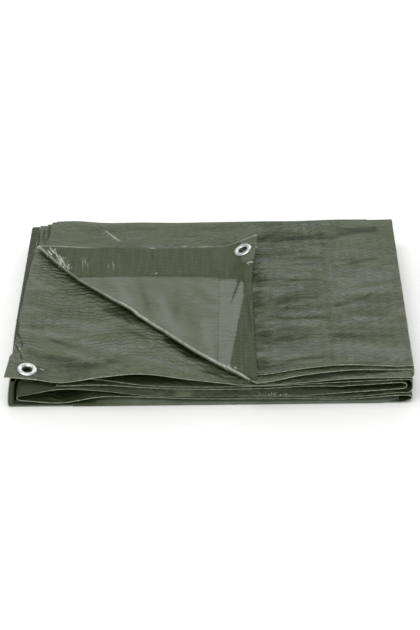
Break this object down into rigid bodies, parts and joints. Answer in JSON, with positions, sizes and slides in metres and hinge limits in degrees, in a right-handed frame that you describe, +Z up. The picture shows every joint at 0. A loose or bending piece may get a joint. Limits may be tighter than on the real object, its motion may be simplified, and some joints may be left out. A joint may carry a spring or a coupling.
{
  "type": "folded poly tarp",
  "caption": "Poly tarp folded flat into a rectangular pack, one corner turned back over the top and eyelets in its hem corners.",
  "frame": {"origin": "middle of the pack's bounding box, on the surface that it lies on", "axes": "+X along the pack's long side, +Y from the open front edges to the back fold, +Z up"},
  "size_m": [0.4512, 0.303, 0.0561],
  "materials": {
    "tarp": "coated woven polyethylene tape, satin, olive green",
    "hem": "welded double hem of the same cloth",
    "eyelet": "bright pressed aluminium"
  },
  "bodies": {
    "root": {"tarp_sheet": "tarp", "front_hem_corner": "hem", "turned_hem_corner": "hem", "front_eyelet": "eyelet", "front_eyelet_washer": "eyelet", "turned_eyelet": "eyelet", "turned_eyelet_washer": "eyelet"}
  },
  "joints": []
}
